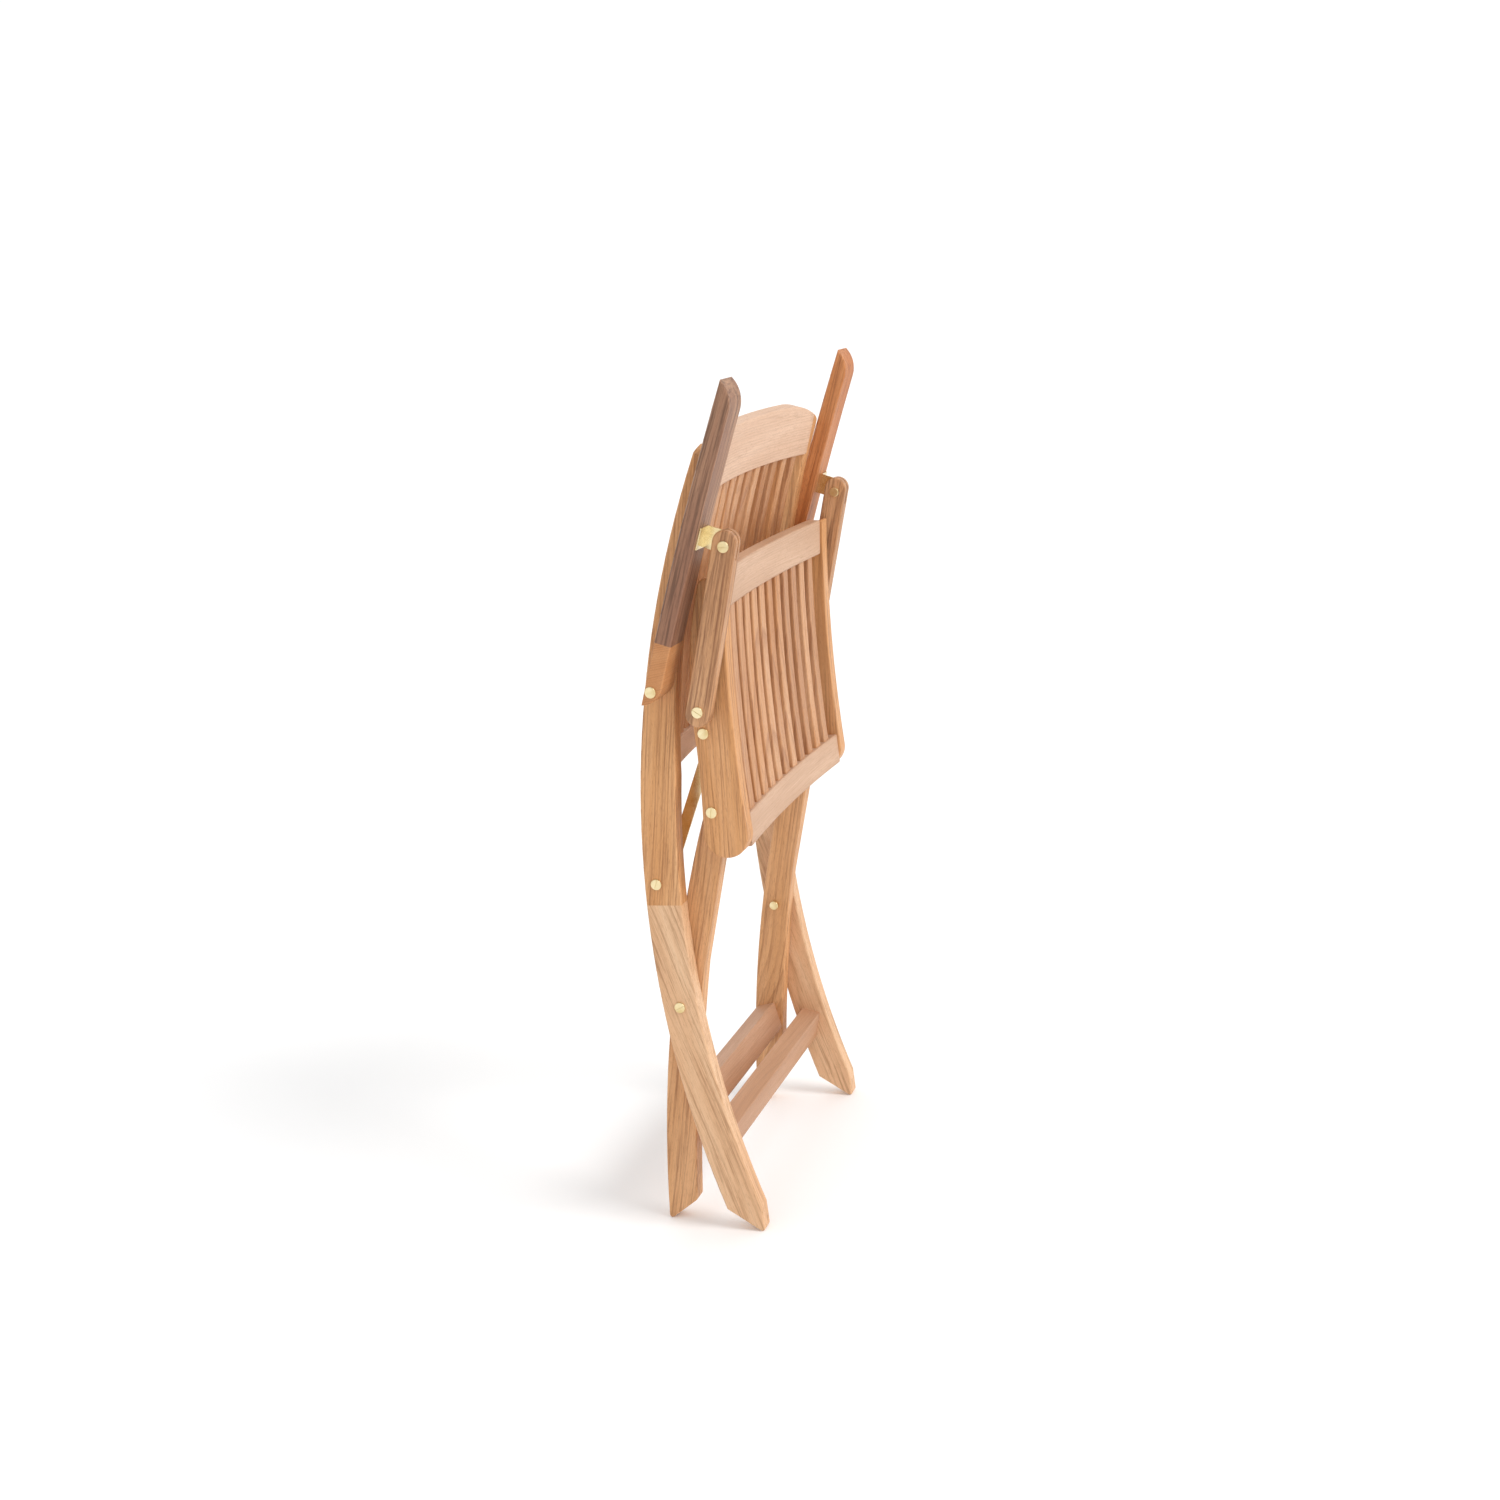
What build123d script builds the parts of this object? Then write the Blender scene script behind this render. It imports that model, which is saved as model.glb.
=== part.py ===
from build123d import *
import os
from math import atan2, cos, degrees, hypot, radians, sin, sqrt, tan

os.makedirs("parts", exist_ok=True)

# A slatted hardwood folding armchair, drawn in its folded pose, standing on its feet.
# X runs across the chair, +Y is the sitter's back, +Z is up. All sizes are millimetres.
# Side outlines are given as (depth, height) pairs measured from the midpoint between the feet.

# ---- the layers across the chair, as distances from the centre plane
STILE_OUT = 249.0            # outer face of the back stiles, front legs and seat rails
WOOD_THICK = 26.0            # thickness of every side member
RUN_GAP = 1.0                # washer gap between members that slide past each other
STILE_IN = STILE_OUT - WOOD_THICK
LEG_OUT = STILE_IN - RUN_GAP
LEG_IN = LEG_OUT - WOOD_THICK
LINK_GAP = 0.6               # gap between a rear leg and the brass link inside it
LINK_THICK = 3.0
LINK_OUT = LEG_IN - LINK_GAP
LINK_IN = LINK_OUT - LINK_THICK
ARM_IN = STILE_OUT + RUN_GAP
ARM_WIDE = 51.0
ARM_OUT = ARM_IN + ARM_WIDE
STRUT_IN = STILE_OUT + 6.3   # a spacer keeps the strut clear of the seat rail
STRUT_THICK = 22.0
STRUT_OUT = STRUT_IN + STRUT_THICK
LUG_THICK = 3.0              # brass lug of the arm bracket, in a slot in the strut's head
LUG_IN = STRUT_IN + (STRUT_THICK - LUG_THICK) / 2
LUG_OUT = LUG_IN + LUG_THICK
LUG_GAP = 0.25               # slot to lug, each side
DEPTH_SHIFT = 42.0           # moves the drawing so its box is centred on the origin

# ---- the pivots
CROSS = (14.0, 328.7)        # front leg to rear leg
LINK_LOW = (28.2, 504.7)     # link to back stile
LINK_HIGH = (-61.6, 711.8)   # link to seat rail
SEAT_PIVOT = (-61.5, 604.2)  # rear leg to seat rail
ARM_PIVOT = (-14.7, 780.3)   # arm to back stile
STRUT_HIGH = (-125.0, 959.7) # strut to arm bracket
STRUT_LOW = (-67.0, 746.8)   # strut to seat rail

# ---- hardware
PIN_RADIUS = 4.0
RUN_CLEAR = 0.08             # radial clearance of a turning hole on its pin
HEAD_RADIUS = 7.6
HEAD_TALL = 2.2
SLOT_WIDE = 1.4
SLOT_DEEP = 1.0
NUT_RADIUS = 7.0
NUT_TALL = 6.0
HEAD_ROUND = 0.9
NUT_ROUND = 1.0
STRUT_NUT_TALL = 4.5         # nut on the inner end of the strut's upper bolt
SPACER_RADIUS = 6.5
LINK_WIDE = 16.0
END_GAP = 0.4                # gap left at each opened pivot
# each slotted head's turn, in degrees from upright towards the front
CROSS_SLOT, LINK_LOW_SLOT, ARM_SLOT, SEAT_SLOT = 65, 20, 65, 10
LINK_HIGH_SLOT, STRUT_HIGH_SLOT, STRUT_LOW_SLOT = 45, 90, 125
SOLE_STEPS = 40
HALF_SPACE = 1200.0          # edge of the blocks used for square cuts, larger than the chair

# ---- edge rounding
ARRIS = 2.5                  # side members
SMALL_ARRIS = 2.0            # slats and rails

# ---- the curved back member: upper stile and spliced front leg
STILE_CENTRE = (-1405.0, 470.0)
STILE_BACK_R = 1451.0
STILE_WIDE = 50.5
STILE_FRONT_R = STILE_BACK_R - STILE_WIDE
SPLICE_Z = 475.0
STILE_TOP_BACK = 1106.0       # the uncut top, above the shouldered outline
STILE_MIDS = (560.0, 330.0)  # heights of the middle points of the rear and front arcs
STILE_TAPER_Z = 650.0        # above this the front edge leaves its arc and the stile slims
STILE_TAPER = ((-51.0, 880.0), (-107.1, 1060.0))
STILE_TOP_FRONT = (-119.5, 1101.0)
SOLE_TILT = 32.7             # slope of a front sole while folded; flat when open
FRONT_SOLE = (-75.0, -3.5)   # the toe corner before rounding
TOE_BEVEL_Z = 36.0           # the toe is trimmed upright below this height
TOE_ROUND = 4.0

# ---- the rear leg
LEG_CENTRE = (-1961.9, -88.6)
LEG_BACK_R = 2040.0
LEG_ARC_TOP = 560.0          # above this the rear edge runs straight to the round top
LEG_FRONT = ((-18.5, 380.0), (20.0, 140.0), (31.0, 20.0))
LEG_TOP_ROUND = 17.0
LEG_TOP_MEETS = (14.0, 20.0) # where the front and rear edges meet the round, in degrees
REAR_SOLE_TILT = 36.3
REAR_SOLE = (72.0, -1.0)     # a point the rear sole passes through
REAR_TOE_ROUND = 8.0
REAR_HEEL_ROUND = 4.0

# ---- seat side rail
RAIL_TOP = ((-111.7, 923.6), (-103.4, 690.0), (-108.3, 574.0))
RAIL_UNDER = ((-46.6, 574.0), (-48.6, 715.0), (-76.0, 914.0))
RAIL_TAIL_ROUNDS = (10.0, 3.0)

# ---- arm and strut
ARM_TOP = ((-150.2, 1168.4), (-64.5, 951.0), (0.6, 763.1))
ARM_UNDER = ((-30.8, 785.0), (-91.0, 956.0), (-157.0, 1127.0))
HEEL_JOINT = (-40.0, 841.0)  # the heel block's joint is square across the arm here
HEEL_LEAN = 19.5
STRUT_HALF = 16.2
STRUT_HEAD = 5.0             # how far the strut runs on past its upper pivot
STRUT_TAIL = 4.0             # how far the strut runs on past its lower pivot
BRACKET_TALL = 29.0
SLOT_SPARE = 1.5             # how far the strut's slot runs below the lug's round end
LEAF_THICK = 2.5
LEAF_WIDE = 30.0
UNDER_STEPS = 40             # how finely the spot nearest the strut's bolt is searched for
LEAF_GAP = 0.15              # the leaf stands clear of the slightly bowed underside

# ---- slatted panels
SLATS = 11
SLAT_PITCH = 2 * STILE_IN / (SLATS + 1)
SLAT_WIDE = 22.0
SLAT_THICK = 12.0
BOARD_THICK = 20.0
BOARD_STRAIGHT = 8.0         # length at each end, beside the joint, that isn't hollowed
BOARD_ARRIS = 2.5
SLAT_INSET = 3.0             # slat faces sit this far behind the faces of their rails
BACK_DISH = 13.0             # how far the crest rail is hollowed at its middle
SEAT_DISH = 8.0
BACK_BOW = 9.0               # backward bow of the back slats at mid length
SEAT_BOW = 4.0               # downward bow of the seat slats at mid length
# each board: front lower corner at the stile, direction up the board, height
CREST = ((-95.8, 1022.0), 17.8, 77.5)
LOWER_BACK = ((-8.5, 659.0), 8.0, 39.0)
SEAT_FRONT = ((-105.2, 550.0), -2.0, 44.0)
SEAT_REAR = ((-103.6, 872.0), 4.6, 51.0)
CREST_SHOULDER = ((120.0, 77.5), (200.0, 68.0), (240.0, 55.0))
SHOULDER_END = (251.0, 48.0)
CUT_HALF, CUT_TALL, CUT_DEEP = 320.0, 200.0, 90.0   # block above the shouldered outline

# ---- stretchers: top front corner, tilt, height, depth
FRONT_STRETCHER = ((-34.5, 140.0), 14.0, 43.0, 30.0)
REAR_STRETCHER = ((31.5, 166.0), -13.0, 43.0, 30.0)


def side_plane(x):
    """A plane facing +X at distance x, whose own x and y are depth and height."""
    return Plane(origin=(x, 0, 0), x_dir=(0, 1, 0), z_dir=(1, 0, 0))


def slab(lines, x_in, x_out):
    """The closed outline in `lines`, made solid between two distances from the centre."""
    return extrude(side_plane(x_in) * make_face(lines), x_out - x_in)


def disc(point, radius, x_in, x_out):
    """A round bar across the chair, centred on a pivot."""
    face = side_plane(x_in) * Pos(point[0], point[1]) * Circle(radius)
    return extrude(face, x_out - x_in)


def above(height):
    """A block holding everything above one height."""
    return Pos(0, 0, height + HALF_SPACE / 2) * Box(HALF_SPACE, HALF_SPACE, HALF_SPACE)


def below(height):
    """A block holding everything below one height."""
    return Pos(0, 0, height - HALF_SPACE / 2) * Box(HALF_SPACE, HALF_SPACE, HALF_SPACE)


def on_arc(centre, radius, height):
    """The point of a large circle at one height, on its rear side."""
    return (centre[0] + sqrt(radius ** 2 - (height - centre[1]) ** 2), height)


def ease(solid, size, keep=lambda edge: True):
    """Rounds the long arrises of a flat member: the edges around its two side faces."""
    sides = solid.faces().filter_by(Axis.X).sort_by(Axis.X)
    edges = ShapeList([e for f in (sides[0], sides[-1]) for e in f.edges() if keep(e)])
    return fillet(edges, size)


def along(direction):
    """Unit steps up a board and out of its front, for a board leaning back by `direction`."""
    a = radians(direction)
    return (-sin(a), cos(a)), (-cos(a), -sin(a))


def board(spec, dish):
    """A cross rail, hollowed across its width, with a short straight run at each end."""
    (y, z), lean, tall = spec
    up, out = along(lean)
    base = Plane(origin=(0, y, z), x_dir=(1, 0, 0), z_dir=(0, up[0], up[1]))
    half, curve, thick = STILE_IN, STILE_IN - BOARD_STRAIGHT, BOARD_THICK
    section = make_face([
        ThreePointArc((-curve, 0), (0, dish), (curve, 0)), Line((curve, 0), (half, 0)),
        Line((half, 0), (half, thick)), Line((half, thick), (curve, thick)),
        ThreePointArc((curve, thick), (0, dish + thick), (-curve, thick)),
        Line((-curve, thick), (-half, thick)), Line((-half, thick), (-half, 0)),
        Line((-half, 0), (-curve, 0)),
    ])
    return extrude(base * section, tall)


def finish_board(solid):
    """Rounds the crosswise arrises of a cross rail, leaving its two joints sharp."""
    edges = [e for e in solid.edges() if abs(e.tangent_at(0.5).X) > 0.5]
    return fillet(ShapeList(edges), BOARD_ARRIS)


def corner(spec, at_top, inset):
    """A point on a board's top or bottom face, `inset` behind its front at the sides."""
    (y, z), lean, tall = spec
    up, out = along(lean)
    rise = tall if at_top else 0.0
    return (y + up[0] * rise - out[0] * inset, z + up[1] * rise - out[1] * inset)


def slat(low_spec, high_spec, dish, bow, x):
    """One slat between two cross rails, bowed backwards by `bow` at mid length."""
    inset = SLAT_INSET + dish * (1 - (x / STILE_IN) ** 2)
    fb, ft = corner(low_spec, True, inset), corner(high_spec, False, inset)
    rb = corner(low_spec, True, inset + SLAT_THICK)
    rt = corner(high_spec, False, inset + SLAT_THICK)
    dy, dz = ft[0] - fb[0], ft[1] - fb[1]
    span = hypot(dy, dz)
    back = (dz / span, -dy / span)

    def middle(p, q):
        return ((p[0] + q[0]) / 2 + back[0] * bow, (p[1] + q[1]) / 2 + back[1] * bow)

    lines = [
        ThreePointArc(ft, middle(ft, fb), fb), Line(fb, rb),
        ThreePointArc(rb, middle(rb, rt), rt), Line(rt, ft),
    ]
    solid = slab(lines, x - SLAT_WIDE / 2, x + SLAT_WIDE / 2)
    return ease(solid, SMALL_ARRIS, lambda e: e.length > span / 2)


def tilted_foot(sole_point, tilt, radius_centre, radius):
    """Where a sole line meets a curved rear edge of a leg, found by closing in on it."""
    slope = tan(radians(tilt))
    height = sole_point[1]
    for _ in range(SOLE_STEPS):
        depth = on_arc(radius_centre, radius, height)[0]
        height = sole_point[1] + (depth - sole_point[0]) * slope
    return (on_arc(radius_centre, radius, height)[0], height)


def splice_free(edge):
    """True for the arrises of the long member that are not in its splice."""
    return abs(edge.center().Z - SPLICE_Z) > 1.0 or edge.length > STILE_WIDE * 1.5


def back_member():
    """The whole curved side member before it is cut into stile and front leg."""
    heel = tilted_foot(FRONT_SOLE, SOLE_TILT, STILE_CENTRE, STILE_BACK_R)
    top = on_arc(STILE_CENTRE, STILE_BACK_R, STILE_TOP_BACK)
    front = [on_arc(STILE_CENTRE, STILE_FRONT_R, z)
             for z in (STILE_TAPER_Z, STILE_MIDS[1], TOE_BEVEL_Z)]
    return [
        ThreePointArc(top, on_arc(STILE_CENTRE, STILE_BACK_R, STILE_MIDS[0]), heel),
        Line(heel, FRONT_SOLE), Line(FRONT_SOLE, front[2]),
        ThreePointArc(front[2], front[1], front[0]),
        ThreePointArc(front[0], STILE_TAPER[0], STILE_TAPER[1]),
        Line(STILE_TAPER[1], STILE_TOP_FRONT), Line(STILE_TOP_FRONT, top),
    ]


def soften_corner(solid, point, radius):
    """Rounds the crosswise corner of a member nearest to one (depth, height) point."""
    edges = solid.edges().filter_by(Axis.X)
    nearest = min(edges, key=lambda e: hypot(e.center().Y - point[0], e.center().Z - point[1]))
    return fillet(nearest, radius)


def head_cutter():
    """Everything above the shouldered outline shared by the crest rail and the stile tops."""
    (y, z), lean, tall = CREST
    up, out = along(lean)
    face = Plane(origin=(0, y, z), x_dir=(1, 0, 0), z_dir=(0, -out[0], -out[1]))
    turn = -1 if face.y_dir.Z < 0 else 1
    (x0, t0), (x1, t1), (x2, t2) = CREST_SHOULDER
    x3, t3 = SHOULDER_END
    far, high = CUT_HALF, CUT_TALL

    def p(x, t):
        return (x, t * turn)

    lines = [
        Line(p(-x0, t0), p(x0, t0)), ThreePointArc(p(x0, t0), p(x1, t1), p(x2, t2)),
        Line(p(x2, t2), p(x3, t3)), Line(p(x3, t3), p(far, t3)), Line(p(far, t3), p(far, high)),
        Line(p(far, high), p(-far, high)), Line(p(-far, high), p(-far, t3)),
        Line(p(-far, t3), p(-x3, t3)), Line(p(-x3, t3), p(-x2, t2)),
        ThreePointArc(p(-x2, t2), p(-x1, t1), p(-x0, t0)),
    ]
    return extrude(face * make_face(lines), CUT_DEEP, both=True)


def back_stile(cutter):
    """The upper part of the right side member, with its link and arm bolt holes."""
    solid = slab(back_member(), STILE_IN, STILE_OUT)
    solid = ease((solid & above(SPLICE_Z)) - cutter, ARRIS, splice_free)
    for pivot in (LINK_LOW, ARM_PIVOT):
        solid -= disc(pivot, PIN_RADIUS, STILE_IN - 1, STILE_OUT + 1)
    return solid


def front_leg():
    """The lower part of the right side member, from the splice down to its slanted sole."""
    solid = slab(back_member(), STILE_IN, STILE_OUT)
    solid = soften_corner(solid, FRONT_SOLE, TOE_ROUND)
    solid &= below(SPLICE_Z)
    solid = ease(solid, ARRIS, splice_free)
    return solid - disc(CROSS, PIN_RADIUS, STILE_IN - 1, STILE_OUT + 1)


def rear_leg():
    """The right rear leg, tapering to a round top inside the seat rail."""
    heel = tilted_foot(REAR_SOLE, -REAR_SOLE_TILT, LEG_CENTRE, LEG_BACK_R)
    slope = tan(radians(REAR_SOLE_TILT))
    toe_y = LEG_FRONT[2][0]
    toe = (toe_y, REAR_SOLE[1] + (REAR_SOLE[0] - toe_y) * slope)
    ring = LEG_TOP_ROUND
    a, b = (radians(meet) for meet in LEG_TOP_MEETS)
    front_top = (SEAT_PIVOT[0] - ring * cos(a), SEAT_PIVOT[1] - ring * sin(a))
    back_top = (SEAT_PIVOT[0] + ring * cos(b), SEAT_PIVOT[1] + ring * sin(b))
    arc_top = on_arc(LEG_CENTRE, LEG_BACK_R, LEG_ARC_TOP)
    lines = [
        ThreePointArc(front_top, (SEAT_PIVOT[0], SEAT_PIVOT[1] + ring), back_top),
        Line(back_top, arc_top),
        ThreePointArc(arc_top, on_arc(LEG_CENTRE, LEG_BACK_R, LEG_ARC_TOP / 2), heel),
        Line(heel, toe),
        ThreePointArc(toe, LEG_FRONT[1], LEG_FRONT[0]),
        Line(LEG_FRONT[0], front_top),
    ]
    solid = slab(lines, LEG_IN, LEG_OUT)
    solid = soften_corner(solid, toe, REAR_TOE_ROUND)
    solid = soften_corner(solid, heel, REAR_HEEL_ROUND)
    solid = ease(solid, ARRIS)
    for pivot in (SEAT_PIVOT, CROSS):
        solid -= disc(pivot, PIN_RADIUS + RUN_CLEAR, LEG_IN - 1, LEG_OUT + 1)
    return solid


def seat_rail():
    """The right seat rail: hollowed top edge, round nose, slimmer at the back."""
    lines = [ThreePointArc(*RAIL_TOP)]
    for start, end in zip((RAIL_TOP[2],) + RAIL_UNDER, RAIL_UNDER):
        lines.append(TangentArc(start, end, tangent=lines[-1] % 1))
    lines.append(Line(RAIL_UNDER[-1], RAIL_TOP[0]))
    solid = slab(lines, STILE_IN, STILE_OUT)
    solid = soften_corner(solid, RAIL_UNDER[-1], RAIL_TAIL_ROUNDS[0])
    solid = soften_corner(solid, RAIL_TOP[0], RAIL_TAIL_ROUNDS[1])
    solid = ease(solid, ARRIS)
    for pivot in (SEAT_PIVOT, LINK_HIGH):
        solid -= disc(pivot, PIN_RADIUS, STILE_IN - 1, STILE_OUT + 1)
    return solid


def arm_outline():
    """The closed side outline of the whole arm."""
    under = ThreePointArc(*ARM_UNDER)
    return [
        ThreePointArc(*ARM_TOP),
        TangentArc(ARM_UNDER[0], ARM_TOP[2], tangent=under % 0 * -1),
        under,
        TangentArc(ARM_UNDER[2], ARM_TOP[0], tangent=under % 1),
    ]


def heel_cut():
    """Where the joint between arm rest and heel block lies, and how it leans."""
    return Pos(0, *HEEL_JOINT) * Rot(HEEL_LEAN, 0, 0)


def arm_board():
    """The right arm rest, forward of its heel block."""
    return ease(slab(arm_outline(), ARM_IN, ARM_OUT), ARRIS) & heel_cut() * above(0)


def arm_heel():
    """The end block that carries the arm's pivot bolt."""
    solid = ease(slab(arm_outline(), ARM_IN, ARM_OUT), ARRIS) & heel_cut() * below(0)
    return solid - disc(ARM_PIVOT, PIN_RADIUS + RUN_CLEAR, ARM_IN - 1, ARM_OUT + 1)


def strut():
    """The flat strut from the arm bracket down to the seat rail, round at both ends."""
    dy, dz = STRUT_HIGH[0] - STRUT_LOW[0], STRUT_HIGH[1] - STRUT_LOW[1]
    length = hypot(dy, dz)
    uy, uz = dy / length, dz / length
    low = (STRUT_LOW[0] - uy * STRUT_TAIL, STRUT_LOW[1] - uz * STRUT_TAIL)
    high = (STRUT_HIGH[0] + uy * STRUT_HEAD, STRUT_HIGH[1] + uz * STRUT_HEAD)
    h = STRUT_HALF

    def off(point, side):
        return (point[0] + uz * h * side, point[1] - uy * h * side)

    lines = [
        Line(off(low, 1), off(high, 1)),
        ThreePointArc(off(high, 1), (high[0] + uy * h, high[1] + uz * h), off(high, -1)),
        Line(off(high, -1), off(low, -1)),
        ThreePointArc(off(low, -1), (low[0] - uy * h, low[1] - uz * h), off(low, 1)),
    ]
    solid = ease(slab(lines, STRUT_IN, STRUT_OUT), ARRIS)
    # the slot leans with the strut and is open at the round top
    deep = BRACKET_TALL / 2 + SLOT_SPARE
    tall = deep + STRUT_HEAD + 2 * h
    slot = Box(LUG_THICK + 2 * LUG_GAP, 4 * h, tall)
    lean = degrees(atan2(-uy, uz))
    solid -= Pos((LUG_IN + LUG_OUT) / 2, *STRUT_HIGH) * Rot(lean, 0, 0) * Pos(0, 0, tall / 2 - deep) * slot
    solid -= disc(STRUT_LOW, PIN_RADIUS, STRUT_IN - 1, STRUT_OUT + 1)
    return solid - disc(STRUT_HIGH, PIN_RADIUS + RUN_CLEAR, STRUT_IN - 1, STRUT_OUT + 1)


def arm_bracket():
    """The brass angle under the arm: a leaf on the wood and a lug beside the strut."""
    steps = (on_under(t / UNDER_STEPS) for t in range(UNDER_STEPS + 1))
    (y, z), (ty, tz) = min(
        steps, key=lambda c: hypot(c[0][0] - STRUT_HIGH[0], c[0][1] - STRUT_HIGH[1]))
    ny, nz = -tz, ty
    if ny > 0:
        ny, nz = -ny, -nz
    reach = abs((STRUT_HIGH[0] - y) * ny + (STRUT_HIGH[1] - z) * nz)
    half = BRACKET_TALL / 2

    def at(along_arm, away):
        return (y + ty * along_arm + ny * away, z + tz * along_arm + nz * away)

    foot = LEAF_GAP
    leaf = slab([Line(at(-half, foot), at(half, foot)),
                 Line(at(half, foot), at(half, foot + LEAF_THICK)),
                 Line(at(half, foot + LEAF_THICK), at(-half, foot + LEAF_THICK)),
                 Line(at(-half, foot + LEAF_THICK), at(-half, foot))],
                LUG_IN, LUG_IN + LEAF_WIDE)
    lug = slab([Line(at(-half, foot), at(half, foot)), Line(at(half, foot), at(half, reach)),
                ThreePointArc(at(half, reach), at(0, reach + half), at(-half, reach)),
                Line(at(-half, reach), at(-half, foot))],
               LUG_IN, LUG_OUT)
    return leaf + lug - disc(STRUT_HIGH, PIN_RADIUS, LUG_IN - 1, LUG_OUT + 1)


def on_under(part_way):
    """A point and tangent on the arm's underside, from 0 at the heel to 1 at the front."""
    edge = ThreePointArc(*ARM_UNDER)
    point, way = edge @ part_way, edge % part_way
    return (point.X, point.Y), (way.X, way.Y)


def brass_link():
    """The flat brass bar from the back stile up to the seat rail."""
    dy, dz = LINK_HIGH[0] - LINK_LOW[0], LINK_HIGH[1] - LINK_LOW[1]
    length = hypot(dy, dz)
    uy, uz = dy / length, dz / length
    h = LINK_WIDE / 2

    def off(point, side):
        return (point[0] + uz * h * side, point[1] - uy * h * side)

    lines = [
        Line(off(LINK_LOW, 1), off(LINK_HIGH, 1)),
        ThreePointArc(off(LINK_HIGH, 1), (LINK_HIGH[0] + uy * h, LINK_HIGH[1] + uz * h),
                      off(LINK_HIGH, -1)),
        Line(off(LINK_HIGH, -1), off(LINK_LOW, -1)),
        ThreePointArc(off(LINK_LOW, -1), (LINK_LOW[0] - uy * h, LINK_LOW[1] - uz * h),
                      off(LINK_LOW, 1)),
    ]
    bar = slab(lines, LINK_IN, LINK_OUT)
    cap = disc(LINK_LOW, NUT_RADIUS, LINK_IN - NUT_TALL, LINK_IN)
    cap = fillet(cap.faces().sort_by(Axis.X)[0].edges(), NUT_ROUND)
    return bar + cap - disc(LINK_HIGH, PIN_RADIUS + RUN_CLEAR, LINK_IN - 1, LINK_OUT + 1)


def slotted_head(pivot, x, turn):
    """A round slotted bolt head standing on the face at x."""
    head = disc(pivot, HEAD_RADIUS, x, x + HEAD_TALL)
    head = fillet(head.faces().sort_by(Axis.X)[-1].edges(), HEAD_ROUND)
    slot = Pos(x + HEAD_TALL, pivot[0], pivot[1]) * Rot(turn, 0, 0) * Box(
        2 * SLOT_DEEP, SLOT_WIDE, 3 * HEAD_RADIUS)
    return head - slot


def bolt(pivot, x_end, x_face, turn, nut_face=None, nut_tall=NUT_TALL, spacer=None):
    """A bolt through a pivot: slotted head, shank, and a round nut or a spacer where given."""
    solid = slotted_head(pivot, x_face, turn) + disc(pivot, PIN_RADIUS, x_end, x_face)
    if nut_face is not None:
        nut = disc(pivot, NUT_RADIUS, nut_face - nut_tall, nut_face)
        solid += fillet(nut.faces().sort_by(Axis.X)[0].edges(), min(NUT_ROUND, nut_tall / 2.5))
    if spacer is not None:
        solid += disc(pivot, SPACER_RADIUS, spacer[0], spacer[1])
    return solid


def stretcher(spec, half_wide):
    """A plain bar between two legs."""
    (y, z), lean, tall, deep = spec
    up, out = along(lean)

    def at(rise, back):
        return (y + up[0] * rise - out[0] * back, z + up[1] * rise - out[1] * back)

    lines = [Line(at(0, 0), at(-tall, 0)), Line(at(-tall, 0), at(-tall, deep)),
             Line(at(-tall, deep), at(0, deep)), Line(at(0, deep), at(0, 0))]
    solid = slab(lines, -half_wide, half_wide)
    return fillet(solid.edges().filter_by(Axis.X), SMALL_ARRIS)


def save(name, shape):
    """Writes one node, shifted so the folded chair's box is centred on the origin."""
    export_step(Pos(0, DEPTH_SHIFT, 0) * shape, f"parts/{name}.step")


def save_pair(name, right):
    """Writes a right-hand node and its mirror image on the left."""
    save(f"{name}_right", right)
    save(f"{name}_left", mirror(right, about=Plane.YZ))


def both_sides(right):
    """The same small part on both sides of the chair, as one group of separate solids."""
    return Compound(children=[Part() + right, Part() + mirror(right, about=Plane.YZ)])


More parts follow.
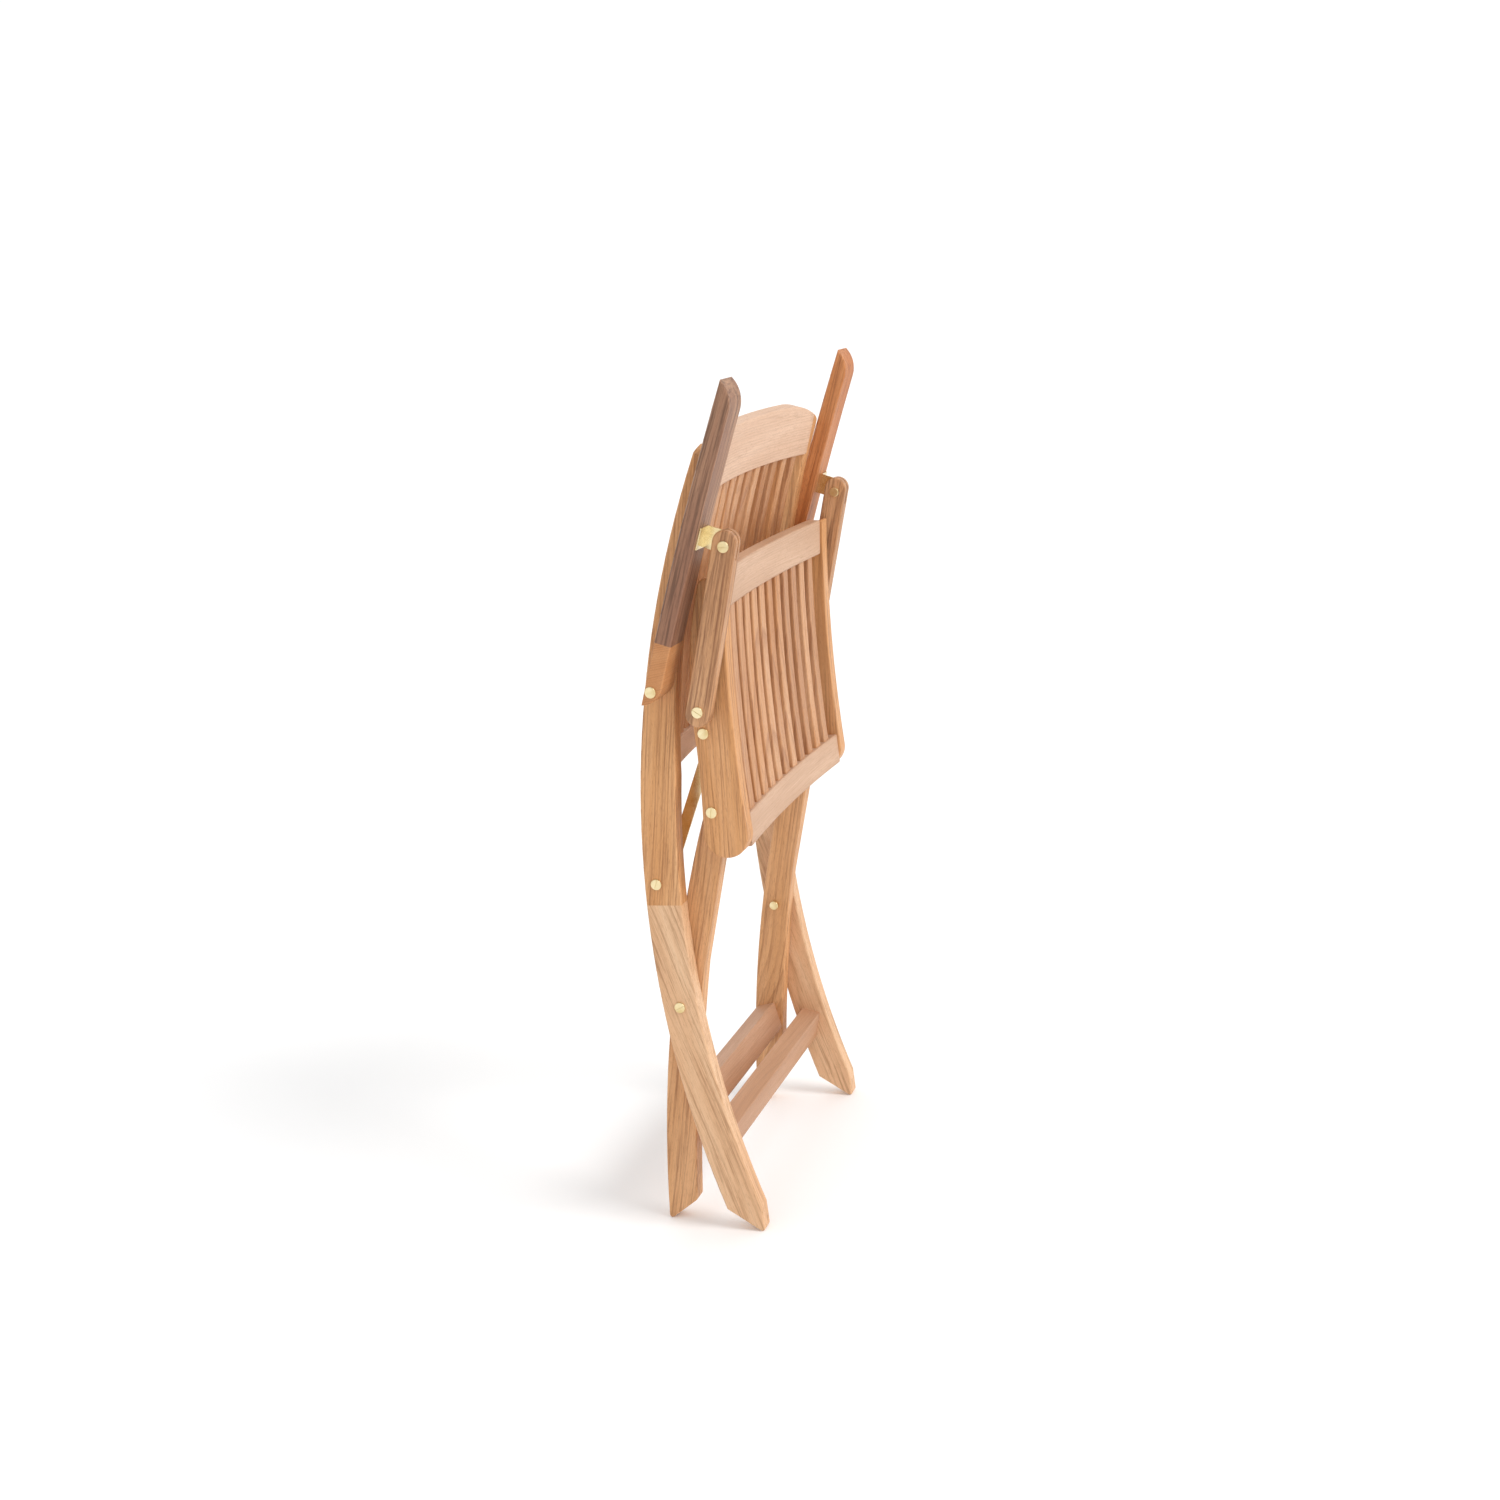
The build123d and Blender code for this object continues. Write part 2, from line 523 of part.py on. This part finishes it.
def main():
    cutter = head_cutter()
    save_pair("back_stile", back_stile(cutter))
    save_pair("front_leg", front_leg())
    save("crest_rail", finish_board(board(CREST, BACK_DISH) - cutter))
    save("lower_back_rail", finish_board(board(LOWER_BACK, BACK_DISH)))
    save("front_stretcher", stretcher(FRONT_STRETCHER, STILE_IN))

    save_pair("rear_leg", rear_leg())
    save("rear_stretcher", stretcher(REAR_STRETCHER, LEG_IN))

    save_pair("seat_rail", seat_rail())
    save("seat_front_rail", finish_board(board(SEAT_FRONT, SEAT_DISH)))
    save("seat_rear_rail", finish_board(board(SEAT_REAR, SEAT_DISH)))

    for i in range(SLATS):
        x = (i - (SLATS - 1) / 2) * SLAT_PITCH
        save(f"back_slat_{i + 1:02d}", slat(LOWER_BACK, CREST, BACK_DISH, BACK_BOW, x))
        save(f"seat_slat_{i + 1:02d}", slat(SEAT_FRONT, SEAT_REAR, SEAT_DISH, SEAT_BOW, x))

    save_pair("arm", arm_board())
    save_pair("arm_heel", arm_heel())
    save_pair("arm_bracket", arm_bracket())
    save_pair("strut", strut())
    save_pair("brass_link", brass_link())

    save("cross_bolts", both_sides(
        bolt(CROSS, LEG_IN - NUT_TALL, STILE_OUT, CROSS_SLOT, LEG_IN - RUN_CLEAR)))
    save("link_lower_bolts", both_sides(
        bolt(LINK_LOW, LINK_OUT + END_GAP, STILE_OUT, LINK_LOW_SLOT,
             spacer=(LINK_OUT + END_GAP, STILE_IN))))
    save("arm_pivot_bolts", both_sides(
        bolt(ARM_PIVOT, STILE_IN - NUT_TALL, ARM_OUT, ARM_SLOT, STILE_IN)))
    save("seat_pivot_bolts", both_sides(
        bolt(SEAT_PIVOT, LEG_IN - NUT_TALL, STILE_OUT, SEAT_SLOT, LEG_IN - RUN_CLEAR)))
    save("link_upper_bolts", both_sides(
        bolt(LINK_HIGH, LINK_IN - NUT_TALL, STILE_OUT, LINK_HIGH_SLOT, LINK_IN - RUN_CLEAR,
             spacer=(LINK_OUT + RUN_CLEAR, STILE_IN))))
    save_pair("strut_upper_bolt", bolt(
        STRUT_HIGH, STRUT_IN - STRUT_NUT_TALL, STRUT_OUT, STRUT_HIGH_SLOT,
        STRUT_IN - RUN_CLEAR, STRUT_NUT_TALL - RUN_CLEAR))
    save_pair("strut_lower_bolt", bolt(STRUT_LOW, STRUT_IN, STRUT_OUT, STRUT_LOW_SLOT))
    save("strut_spacers", both_sides(
        disc(STRUT_LOW, SPACER_RADIUS, STILE_OUT, STRUT_IN - END_GAP)))


main()
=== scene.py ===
# %% [markdown]
# # A folded teak armchair
#
# The chair's shape comes ready made from its CAD model: curved side members, slats, arms,
# struts and brass fittings, each a piece of its own. This lesson gives every piece the wood
# or metal that it is made of, then adds the studio: floor, lights and camera.

import math

import bpy
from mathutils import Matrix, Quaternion, Vector

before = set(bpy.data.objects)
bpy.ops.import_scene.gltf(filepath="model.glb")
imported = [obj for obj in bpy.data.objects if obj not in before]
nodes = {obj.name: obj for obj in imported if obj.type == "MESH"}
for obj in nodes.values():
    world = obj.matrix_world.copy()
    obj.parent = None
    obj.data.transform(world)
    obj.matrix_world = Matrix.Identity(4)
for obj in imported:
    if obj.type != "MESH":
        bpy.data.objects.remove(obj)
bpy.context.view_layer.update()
bpy.ops.object.select_all(action="DESELECT")

# %% [markdown]
# ## Two small tools
#
# A colour is easiest to choose as the hex code a screen shows, but a shader wants linear
# light. One function does that sum. The other adds a shader node, sets what it should, and
# joins its inputs, so that a material reads as a list of steps.

# %% Helpers for colours and nodes
def linear(hex_code):
    """An sRGB hex colour as linear RGBA."""
    parts = [int(hex_code[i:i + 2], 16) / 255 for i in (1, 3, 5)]
    return [c / 12.92 if c <= 0.04045 else ((c + 0.055) / 1.055) ** 2.4 for c in parts] + [1.0]


def add(tree, kind, links=None, values=None, **settings):
    """Adds a node: settings are its own, values go into sockets and links join sockets."""
    node = tree.nodes.new("ShaderNode" + kind)
    for key, value in settings.items():
        setattr(node, key, value)
    for socket, value in (values or {}).items():
        node.inputs[socket].default_value = value
    for socket, source in (links or {}).items():
        tree.links.new(source, node.inputs[socket])
    return node


def ramp(tree, source, stops):
    """A colour ramp through (position, colour) stops."""
    node = add(tree, "ValToRGB", {"Fac": source})
    elements = node.color_ramp.elements
    elements[0].position, elements[0].color = stops[0]
    elements[1].position, elements[1].color = stops[-1]
    for position, colour in stops[1:-1]:
        elements.new(position).color = colour
    return node


def mixed(tree, factor, first, second, how="MIX"):
    """Mixes two colours; factor and colours are sockets or plain values."""
    node = add(tree, "Mix", data_type="RGBA", blend_type=how)
    for socket, value in ((node.inputs[0], factor), (node.inputs[6], first), (node.inputs[7], second)):
        if isinstance(value, bpy.types.NodeSocket):
            tree.links.new(value, socket)
        else:
            socket.default_value = value
    return node.outputs[2]


def shader(name):
    """A new material's node tree and its main shader."""
    material = bpy.data.materials.new(name)
    material.use_nodes = True
    return material, material.node_tree, material.node_tree.nodes["Principled BSDF"]


print("helpers ready")

# %% [markdown]
# ## Teak
#
# Teak is a golden brown hardwood with straight grain, darker streaks of old heartwood, and
# open pores that show as fine short lines. It was sawn and sanded, and lightly oiled, so it
# is satin, never glossy. One trunk gives boards that differ, from pale tan to dark brown.
#
# A board is a slice out of a tree, so the material is made as a tree too: growth rings round
# a pith that lies beside the board, wandering a little on the way up. Every face then shows
# what a saw would show there: long lines on the flats, arches where the board is cut aslant,
# and rings on the ends. The other choice, a flat pattern, would run wrong on every edge.

# %% The teak material
GRAIN_SCALE = 1000.0         # one millimetre, as patterns per metre
WANDER = 0.035               # how far the rings drift sideways, in metres
SLAT_TONE_SHARE = 0.55       # how far one slat may differ from the next
FIBRE_SHARE = 0.75           # strongest tint of the fibres
PORE_SHARE = 0.50            # strongest tint of the pores


def teak(name, pale, deep, streak, lean=0.0, across=False, pith=(0.10, 0.02),
         ring_mm=3.2, ring_depth=0.55, streak_cover=0.50, streak_depth=0.62, board_mm=None, seed=0.0):
    """Oiled teak. lean turns the grain back from upright, across lays it along the chair's width."""
    material, tree, surface = shader(name)
    place = add(tree, "TexCoord").outputs["Object"]
    turn = (0.0, -math.pi / 2, 0.0) if across else (-math.radians(lean), 0.0, 0.0)
    board = add(tree, "Mapping", {"Vector": place},
                {"Rotation": turn, "Location": (pith[0], pith[1], seed)}).outputs[0]

    # the trunk wanders a few millimetres over a hand's length
    slow = add(tree, "Mapping", {"Vector": board}, {"Scale": (5.0, 5.0, 1.6)}).outputs[0]
    wander = add(tree, "TexNoise", {"Vector": slow}, {"Scale": 1.0, "Detail": 2.0}).outputs["Color"]
    centred = add(tree, "VectorMath", {0: wander}, {1: (0.5, 0.5, 0.5)}, operation="SUBTRACT").outputs[0]
    shift = add(tree, "VectorMath", {0: centred}, {"Scale": WANDER}, operation="SCALE").outputs[0]
    grown = add(tree, "VectorMath", {0: board, 1: shift}, operation="ADD").outputs[0]
    round_it = add(tree, "VectorMath", {0: grown}, {1: (1.0, 1.0, 0.03)}, operation="MULTIPLY").outputs[0]
    radius = add(tree, "VectorMath", {0: round_it}, operation="LENGTH").outputs["Value"]
    rings = add(tree, "Math", {0: radius}, {1: GRAIN_SCALE / ring_mm}, operation="MULTIPLY").outputs[0]
    part = add(tree, "Math", {0: rings}, operation="FRACT").outputs[0]
    year = add(tree, "Math", {0: rings}, operation="FLOOR").outputs[0]
    luck = add(tree, "TexWhiteNoise", {"W": year}, noise_dimensions="1D").outputs["Value"]
    late = ramp(tree, part, [(0.0, (0, 0, 0, 1)), (0.55, (0.25, 0.25, 0.25, 1)),
                             (0.9, (1, 1, 1, 1)), (1.0, (0, 0, 0, 1))]).outputs[0]
    ring_share = add(tree, "Math", {0: late, 1: luck}, operation="MULTIPLY").outputs[0]
    ring_share = add(tree, "Math", {0: ring_share}, {1: ring_depth}, operation="MULTIPLY").outputs[0]

    # fibres about 1.5 mm wide and 90 mm long, and pores a quarter of that
    long_way = add(tree, "Mapping", {"Vector": grown}, {"Scale": (650.0, 650.0, 11.0)}).outputs[0]
    fibre = add(tree, "TexNoise", {"Vector": long_way},
                {"Scale": 1.0, "Detail": 4.0, "Roughness": 0.62}).outputs[0]
    fine_way = add(tree, "Mapping", {"Vector": grown}, {"Scale": (2200.0, 2200.0, 95.0)}).outputs[0]
    pore_noise = add(tree, "TexNoise", {"Vector": fine_way}, {"Scale": 1.0, "Detail": 1.0}).outputs[0]
    pores = ramp(tree, pore_noise, [(0.60, (0, 0, 0, 1)), (0.70, (1, 1, 1, 1))]).outputs[0]

    # heartwood streaks about 4 mm wide and a hand long, and broad patches of tone
    streak_way = add(tree, "Mapping", {"Vector": grown}, {"Scale": (240.0, 240.0, 6.0)}).outputs[0]
    streak_noise = add(tree, "TexNoise", {"Vector": streak_way},
                       {"Scale": 1.0, "Detail": 5.0, "Roughness": 0.65}).outputs[0]
    streaks = ramp(tree, streak_noise, [(streak_cover, (0, 0, 0, 1)),
                                        (streak_cover + 0.16, (1, 1, 1, 1))]).outputs[0]
    patch_way = add(tree, "Mapping", {"Vector": board}, {"Scale": (26.0, 26.0, 3.5)}).outputs[0]
    patches = add(tree, "TexNoise", {"Vector": patch_way}, {"Scale": 1.0, "Detail": 2.0}).outputs[0]
    patches = ramp(tree, patches, [(0.30, (0, 0, 0, 1)), (0.70, (1, 1, 1, 1))]).outputs[0]

    colour = mixed(tree, patches, linear(pale), linear(deep))
    if board_mm:
        # slats are sawn from different boards, so each one has its own tone
        apart = add(tree, "SeparateXYZ", {"Vector": place}).outputs["X"]
        count = add(tree, "Math", {0: apart}, {1: GRAIN_SCALE / board_mm},
                    operation="MULTIPLY").outputs[0]
        slat = add(tree, "Math", {0: count}, operation="ROUND").outputs[0]
        tone = add(tree, "TexWhiteNoise", {"W": slat}, noise_dimensions="1D").outputs["Value"]
        tone = add(tree, "Math", {0: tone}, {1: SLAT_TONE_SHARE}, operation="MULTIPLY").outputs[0]
        colour = mixed(tree, tone, colour, linear(streak))
    fibre_share = add(tree, "MapRange", {"Value": fibre},
                      {"From Min": 0.30, "From Max": 0.70, "To Min": 0.0, "To Max": FIBRE_SHARE}).outputs[0]
    colour = mixed(tree, fibre_share, colour, linear(deep))
    colour = mixed(tree, ring_share, colour, linear(streak))
    dark_share = add(tree, "Math", {0: streaks}, {1: streak_depth}, operation="MULTIPLY").outputs[0]
    colour = mixed(tree, dark_share, colour, linear(streak))
    pore_share = add(tree, "Math", {0: pores}, {1: PORE_SHARE}, operation="MULTIPLY").outputs[0]
    colour = mixed(tree, pore_share, colour, linear(streak))
    tree.links.new(colour, surface.inputs["Base Color"])

    sheen = add(tree, "MapRange", {"Value": fibre}, {"To Min": 0.42, "To Max": 0.62}).outputs[0]
    tree.links.new(sheen, surface.inputs["Roughness"])
    relief = add(tree, "Math", {0: fibre, 1: pores}, operation="SUBTRACT").outputs[0]
    bump = add(tree, "Bump", {"Height": relief}, {"Strength": 0.35, "Distance": 0.0002}).outputs[0]
    tree.links.new(bump, surface.inputs["Normal"])
    surface.inputs["IOR"].default_value = 1.45
    return material


def give(material, *names):
    """Puts a material into every slot of the named pieces."""
    for name in names:
        mesh = nodes[name].data
        if not mesh.materials:
            mesh.materials.append(material)
        for i in range(len(mesh.materials)):
            mesh.materials[i] = material


def pair(name):
    return name + "_left", name + "_right"


print("teak ready")

# %% [markdown]
# ## Boards for the side members
#
# The upright members are sawn from straight planks and then cut to their curves, so the grain
# runs straight from end to end while the outline bends across it. The stiles are a warm tan,
# the front legs spliced under them a paler board, and the rear legs more orange.

# %% Side members
SIDE_TEAK = {
    "back_stile": dict(pale="#e8b684", deep="#cf935b", streak="#86502a", lean=8, pith=(0.33, 0.02), seed=1.0),
    "front_leg": dict(pale="#edc9a3", deep="#dbab80", streak="#9c6b42",
                      lean=-16, pith=(0.36, 0.03), seed=2.0),
    "rear_leg": dict(pale="#eab98b", deep="#d29a66", streak="#8c5730", lean=12, pith=(0.30, 0.05), seed=3.0),
    "seat_rail": dict(pale="#e5b080", deep="#cf9258", streak="#8a5630", lean=2, pith=(0.31, 0.10), seed=4.0),
}
for member, look in SIDE_TEAK.items():
    give(teak("oiled teak " + member.replace("_", " "), **look), *pair(member))
print("side members:", ", ".join(SIDE_TEAK))

# %% [markdown]
# ## Cross rails and stretchers
#
# These run from side to side, so their grain does too. Their pale, faintly pink colour is
# partly the boards' own tone and partly painted highlight, the colour of their lamp-lit front
# faces. Flowing lines show where the hollow face cuts through the rings.

# %% Cross rails
# the pale pink of these rails is partly painted highlight: the colour their lit front faces show
RAIL_TEAK = dict(pale="#e6c4a9", deep="#d2aa8c", streak="#a0775a", across=True,
                 pith=(-0.95, 0.06), ring_mm=3.6, ring_depth=0.35, streak_cover=0.56, streak_depth=0.40)
give(teak("oiled teak back rails", seed=5.0, **RAIL_TEAK), "crest_rail", "lower_back_rail")
give(teak("oiled teak seat rails", seed=7.3, **dict(RAIL_TEAK, pale="#d6b295", deep="#c29a7b")),
     "seat_front_rail", "seat_rear_rail")
give(teak("oiled teak stretchers", seed=9.1, **dict(RAIL_TEAK, pale="#cfa486", deep="#b78866")),
     "front_stretcher", "rear_stretcher")
print("cross rails done")

# %% [markdown]
# ## Slats
#
# Slats are ripped from offcuts of many boards, so no two neighbours match. Their colours are
# set darker than the side members: partly their own tone, partly painted shade for the gaps
# between them.

# %% Slats
SLAT_PITCH_MM = 2 * 223.0 / 12
for side, lean, seed in (("back", 12, 11.0), ("seat", 4, 13.0)):
    # the slat colours are darker partly as painted shade for the gaps between slats
    slat_teak = teak(f"oiled teak {side} slats", pale="#e0b48e", deep="#c58a58", streak="#824823",
                     lean=lean, pith=(0.05, 0.10), streak_cover=0.55, board_mm=SLAT_PITCH_MM, seed=seed)
    give(slat_teak, *[f"{side}_slat_{i:02d}" for i in range(1, 12)])
print("slats done")

# %% [markdown]
# ## Arms, their heel blocks, and the struts
#
# The left arm is the darkest board, a grey brown heartwood, and the right arm is an orange one.
# The block at the heel has its grain across the chair, so its side shows orange end grain.

# %% Arms and struts
ARM_SHAPE = dict(lean=19.5, pith=(0.29, 0.06))
give(teak("dark heartwood arm", pale="#c49a78", deep="#946850", streak="#5c3d2c", streak_cover=0.46,
          streak_depth=0.75, seed=15.0, **ARM_SHAPE), "arm_left")
give(teak("orange teak arm", pale="#dfa06c", deep="#bf743c", streak="#7f421e",
          seed=16.0, **ARM_SHAPE), "arm_right")
give(teak("end grain heel block", pale="#d39a68", deep="#c28350", streak="#925a32", across=True,
          pith=(-0.74, 0.10), ring_mm=3.0, streak_cover=0.62, seed=17.0), *pair("arm_heel"))
give(teak("brown teak strut", pale="#e2b387", deep="#c08a5e", streak="#734528", lean=15,
          pith=(0.27, 0.02), streak_cover=0.47, streak_depth=0.65, seed=19.0), *pair("strut"))
print("arms done")

# %% [markdown]
# ## Brass
#
# The fittings are solid brass. Bolts are turned and polished; the flat links and the angle
# under each arm are rolled strip, with fine lines along their length from polishing.

# %% Brass
def brass(name, scratch_scale, rough, tone="#f3e3b8"):
    """Polished brass with fine lines; scratch_scale stretches them along one axis."""
    material, tree, surface = shader(name)
    place = add(tree, "TexCoord").outputs["Object"]
    way = add(tree, "Mapping", {"Vector": place}, {"Scale": scratch_scale}).outputs[0]
    lines = add(tree, "TexNoise", {"Vector": way}, {"Scale": 1.0, "Detail": 3.0}).outputs[0]
    tarnish = add(tree, "TexNoise", {"Vector": place}, {"Scale": 60.0, "Detail": 2.0}).outputs[0]
    colour = ramp(tree, tarnish, [(0.35, linear(tone)), (0.75, linear("#dcc28a"))]).outputs[0]
    tree.links.new(colour, surface.inputs["Base Color"])
    surface.inputs["Metallic"].default_value = 1.0
    dull = add(tree, "MapRange", {"Value": lines}, {"To Min": rough, "To Max": rough + 0.16}).outputs[0]
    tree.links.new(dull, surface.inputs["Roughness"])
    bump = add(tree, "Bump", {"Height": lines}, {"Strength": 0.15, "Distance": 0.00005}).outputs[0]
    tree.links.new(bump, surface.inputs["Normal"])
    return material


bolt_brass = brass("turned brass", (900.0, 900.0, 900.0), 0.28)
strip_brass = brass("rolled brass strip", (1500.0, 1200.0, 40.0), 0.16)
give(bolt_brass, "cross_bolts", "link_lower_bolts", "arm_pivot_bolts", "seat_pivot_bolts",
     "link_upper_bolts", "strut_spacers", *pair("strut_upper_bolt"), *pair("strut_lower_bolt"))
give(strip_brass, *pair("brass_link"), *pair("arm_bracket"))
print("brass done")

# %% [markdown]
# ## The studio
#
# A pale floor that reaches far beyond the chair, in a room that is white behind the chair and
# dimmer behind the camera, and one broad soft lamp far off in front of the seat. The wood
# that faces the sitter's front is then the brightest, and the gaps between slats stay deep.

# %% Floor
FLOOR_HALF = 30.0
bpy.ops.object.select_all(action="DESELECT")
bpy.ops.mesh.primitive_plane_add(size=2 * FLOOR_HALF, location=(0, 0, -0.0005))
floor = bpy.context.object
floor.name = "studio_floor"
bpy.ops.object.transform_apply(location=True, rotation=True, scale=True)
paper, paper_tree, paper_surface = shader("white paper")
paper_surface.inputs["Base Color"].default_value = linear("#ffffff")
paper_surface.inputs["Roughness"].default_value = 0.9
paper_surface.inputs["Specular IOR Level"].default_value = 0.1
floor.data.materials.append(paper)
print("floor laid")


# %% Room and lights
bpy.context.scene.view_settings.view_transform = "Standard"   # keeps white paper white
ROOM_WHITE, ROOM_DIM = 1.05, 0.76
world = bpy.data.worlds.new("white room")
bpy.context.scene.world = world
world.use_nodes = True
room = world.node_tree
direction = add(room, "TexCoord").outputs["Generated"]
behind = add(room, "VectorMath", {0: direction}, {1: (0.92, 0.39, 0.0)}, operation="DOT_PRODUCT")
glow = add(room, "MapRange", {"Value": behind.outputs["Value"]},
           {"From Min": -0.2, "From Max": 0.6, "To Min": ROOM_DIM, "To Max": ROOM_WHITE})
room.links.new(glow.outputs[0], room.nodes["Background"].inputs["Strength"])
room.nodes["Background"].inputs["Color"].default_value = (1.0, 1.0, 1.0, 1.0)

LAMP_TURN = (52, 0, -12)
LAMP_POWER = 1.45
LAMP_SPREAD = 25
lamp = bpy.data.lights.new("broad front lamp", "SUN")
lamp.energy, lamp.angle = LAMP_POWER, math.radians(LAMP_SPREAD)
lamp_holder = bpy.data.objects.new("broad front lamp", lamp)
bpy.context.scene.collection.objects.link(lamp_holder)
lamp_holder.rotation_euler = [math.radians(turn) for turn in LAMP_TURN]
print("lights set")

# %% [markdown]
# ## The camera
#
# It stands about three metres off the chair's left side, a little in front, at a standing
# person's eye level, and looks slightly down.

# %% Camera
CAMERA_PLACE = (-2.71082, -0.92759, 1.29463)
CAMERA_HEADING, CAMERA_DROP, CAMERA_ROLL = 18.96, 13.11, -5.77

camera_data = bpy.data.cameras.new("studio camera")
camera = bpy.data.objects.new("studio camera", camera_data)
bpy.context.scene.collection.objects.link(camera)
camera_data.lens, camera_data.sensor_width = 49.2, 36.0
heading, drop = math.radians(CAMERA_HEADING), math.radians(CAMERA_DROP)
gaze = Vector((math.cos(drop) * math.cos(heading), math.cos(drop) * math.sin(heading), -math.sin(drop)))
camera.rotation_mode = "QUATERNION"
camera.rotation_quaternion = gaze.to_track_quat("-Z", "Y") @ Quaternion((0, 0, 1), math.radians(CAMERA_ROLL))
camera.location = CAMERA_PLACE
bpy.context.scene.camera = camera
bpy.context.view_layer.update()
print("camera axes:", [tuple(round(v, 4) for v in row) for row in camera.matrix_world.to_3x3().transposed()])
